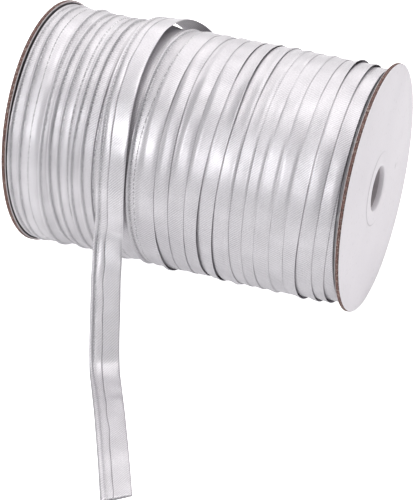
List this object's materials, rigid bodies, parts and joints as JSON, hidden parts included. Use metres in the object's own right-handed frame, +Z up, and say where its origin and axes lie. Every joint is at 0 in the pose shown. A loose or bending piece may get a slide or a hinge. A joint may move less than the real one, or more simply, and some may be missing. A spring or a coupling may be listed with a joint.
{
  "type": "roll of satin bias tape on a card spool",
  "caption": "Card spool wound full of folded satin bias tape, its loose end coming over the top, down the front and out along the floor.",
  "frame": {"origin": "on the floor, under the middle of the whole roll's box", "axes": "+X along the spool's axis to the flange on the right, -Y the front, where the loose end comes down, +Z up"},
  "size_m": [0.1274, 0.1845, 0.0913],
  "materials": {
    "paper_white": "white paper over grey card",
    "tube_card": "pale card",
    "satin_silver": "silver-grey satin, soft shine"
  },
  "bodies": {
    "root": {"core_tube": "tube_card", "flange_left": "paper_white", "flange_right": "paper_white", "wound_tape": "satin_silver", "loose_end": "satin_silver"}
  },
  "joints": []
}
